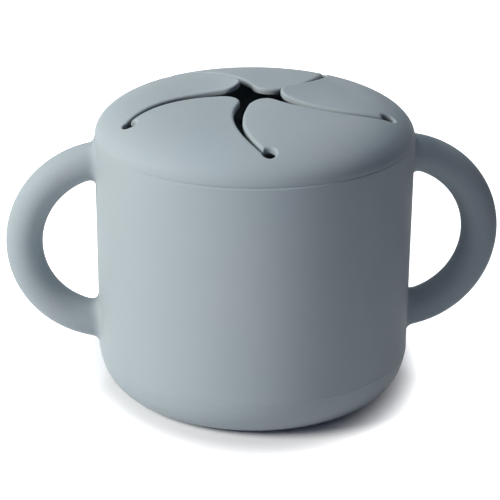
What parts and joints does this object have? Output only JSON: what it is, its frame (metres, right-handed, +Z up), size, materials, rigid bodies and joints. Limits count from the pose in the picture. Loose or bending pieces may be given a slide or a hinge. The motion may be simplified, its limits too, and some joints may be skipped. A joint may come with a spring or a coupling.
{
  "type": "toddler snack container",
  "caption": "Soft two-handled snack cup with a domed push-in lid whose curved slits make petals that a small hand can push through.",
  "frame": {"origin": "centre of the base's underside, on the axis of the cup", "axes": "+Z up along the cup's axis, +X out through the right handle, -Y towards the front"},
  "size_m": [0.1344, 0.086, 0.0827],
  "materials": {
    "silicone": "matte dusty blue-grey food-grade silicone"
  },
  "bodies": {
    "cup": {"cup_body": "silicone", "handle_left": "silicone", "handle_right": "silicone"},
    "lid": {"lid_rim": "silicone", "petal_root_1": "silicone", "petal_root_2": "silicone", "petal_root_3": "silicone", "petal_root_4": "silicone", "petal_root_5": "silicone"},
    "petal_1": {"petal_1": "silicone"},
    "petal_2": {"petal_2": "silicone"},
    "petal_3": {"petal_3": "silicone"},
    "petal_4": {"petal_4": "silicone"},
    "petal_5": {"petal_5": "silicone"}
  },
  "joints": [
    {"name": "lid_lift", "type": "slide", "parent": "cup", "child": "lid", "axis": [0, 0, 1], "range_m": [0, 0.06]},
    {"name": "petal_1_bend", "type": "hinge", "parent": "lid", "child": "petal_1", "pos_m": [0.01687, -0.02364, 0.07935], "axis": [-0.8141, -0.5807, 0], "range_deg": [-35, 60], "stiffness_Nm_per_rad": 0.02, "deforming": ["petal_root_1"]},
    {"name": "petal_2_bend", "type": "hinge", "parent": "lid", "child": "petal_2", "pos_m": [0.0277, 0.00873, 0.07935], "axis": [0.3007, -0.9537, 0], "range_deg": [-35, 60], "stiffness_Nm_per_rad": 0.02, "deforming": ["petal_root_2"]},
    {"name": "petal_3_bend", "type": "hinge", "parent": "lid", "child": "petal_3", "pos_m": [0.00025, 0.02904, 0.07935], "axis": [1, -0.0087, 0], "range_deg": [-35, 60], "stiffness_Nm_per_rad": 0.02, "deforming": ["petal_root_3"]},
    {"name": "petal_4_bend", "type": "hinge", "parent": "lid", "child": "petal_4", "pos_m": [-0.02754, 0.00922, 0.07935], "axis": [0.3173, 0.9483, 0], "range_deg": [-35, 60], "stiffness_Nm_per_rad": 0.02, "deforming": ["petal_root_4"]},
    {"name": "petal_5_bend", "type": "hinge", "parent": "lid", "child": "petal_5", "pos_m": [-0.01728, -0.02335, 0.07935], "axis": [-0.8039, 0.5948, 0], "range_deg": [-35, 60], "stiffness_Nm_per_rad": 0.02, "deforming": ["petal_root_5"]}
  ]
}
